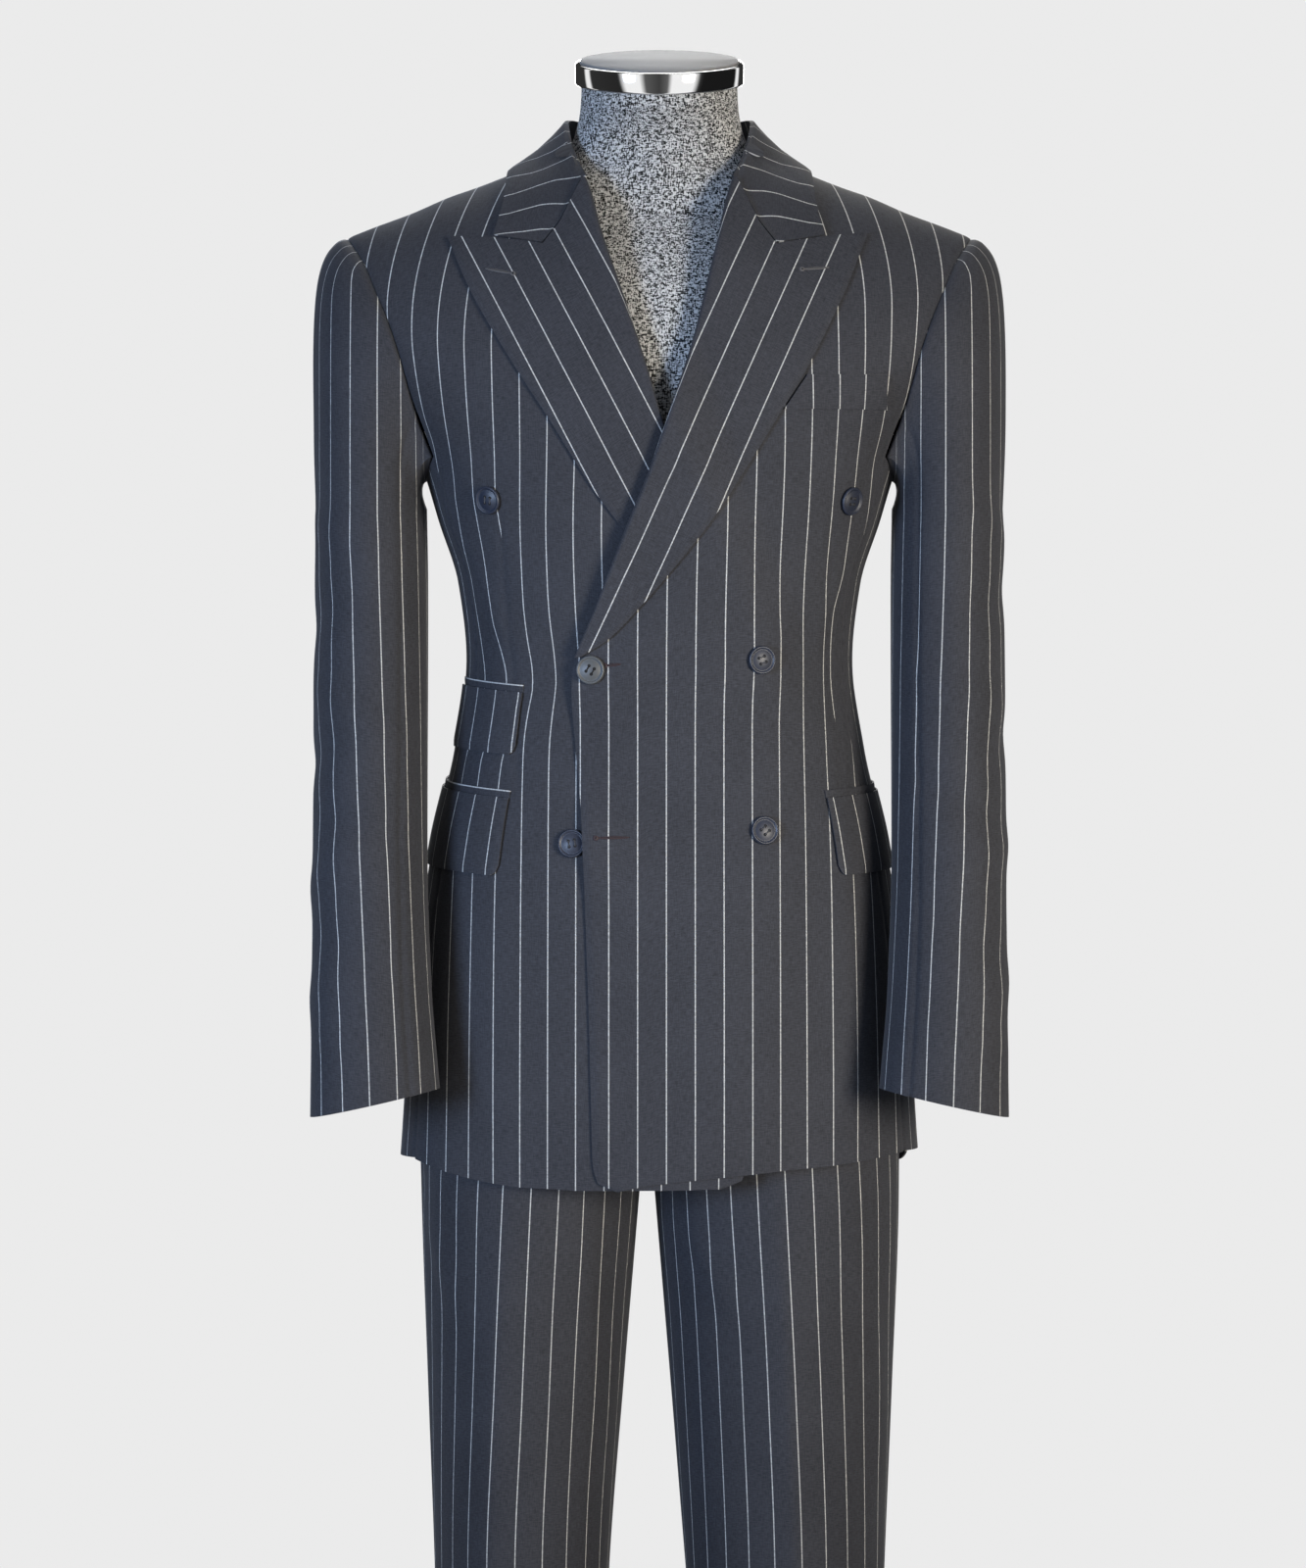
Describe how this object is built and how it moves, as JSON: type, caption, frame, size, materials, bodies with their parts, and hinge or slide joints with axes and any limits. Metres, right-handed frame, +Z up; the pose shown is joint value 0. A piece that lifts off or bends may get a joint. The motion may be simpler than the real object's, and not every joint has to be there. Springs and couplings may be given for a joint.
{
  "type": "striped suit on a dress form",
  "caption": "Pinstriped double-breasted jacket with peak lapels and straight trousers, worn by a limbless dress form on a round base.",
  "frame": {"origin": "on the floor, under the middle of the round base", "axes": "+Z up, the suit faces -Y, +X is the wearer's left"},
  "size_m": [0.5152, 0.38, 1.6059],
  "materials": {
    "suiting": "worsted wool, charcoal navy with a fine pale stripe every 21 mm",
    "horn_buttons": "dark navy, semi-gloss, four holes",
    "heather_cover": "grey heather weave stretched over the form",
    "cap_chrome": "polished",
    "cap_top": "satin",
    "stand_steel": "satin"
  },
  "bodies": {
    "root": {"jacket_front_left": "suiting", "jacket_front_right": "suiting", "jacket_side_left": "suiting", "jacket_side_right": "suiting", "jacket_back_left": "suiting", "jacket_back_right": "suiting", "lapel_left": "suiting", "lapel_right": "suiting", "collar": "suiting", "sleeve_upper_left": "suiting", "sleeve_upper_right": "suiting", "sleeve_under_left": "suiting", "sleeve_under_right": "suiting", "chest_welt": "suiting", "hip_flap_left": "suiting", "hip_flap_right": "suiting", "hip_welt_left": "suiting", "hip_welt_right": "suiting", "ticket_flap_right": "suiting", "ticket_welt_right": "suiting", "trouser_front_left": "suiting", "trouser_front_right": "suiting", "trouser_back_left": "suiting", "trouser_back_right": "suiting", "waistband": "suiting", "button_left_chest": "horn_buttons", "button_left_waist": "horn_buttons", "button_left_hip": "horn_buttons", "button_fastened": "horn_buttons", "button_right_chest": "horn_buttons", "button_right_hip": "horn_buttons", "cuff_button_left_1": "horn_buttons", "cuff_button_left_2": "horn_buttons", "cuff_button_left_3": "horn_buttons", "cuff_button_left_4": "horn_buttons", "cuff_button_right_1": "horn_buttons", "cuff_button_right_2": "horn_buttons", "cuff_button_right_3": "horn_buttons", "cuff_button_right_4": "horn_buttons", "form_body": "heather_cover", "cap_band": "cap_chrome", "cap_disc": "cap_top", "pole": "stand_steel", "flange": "stand_steel", "base": "stand_steel"}
  },
  "joints": []
}
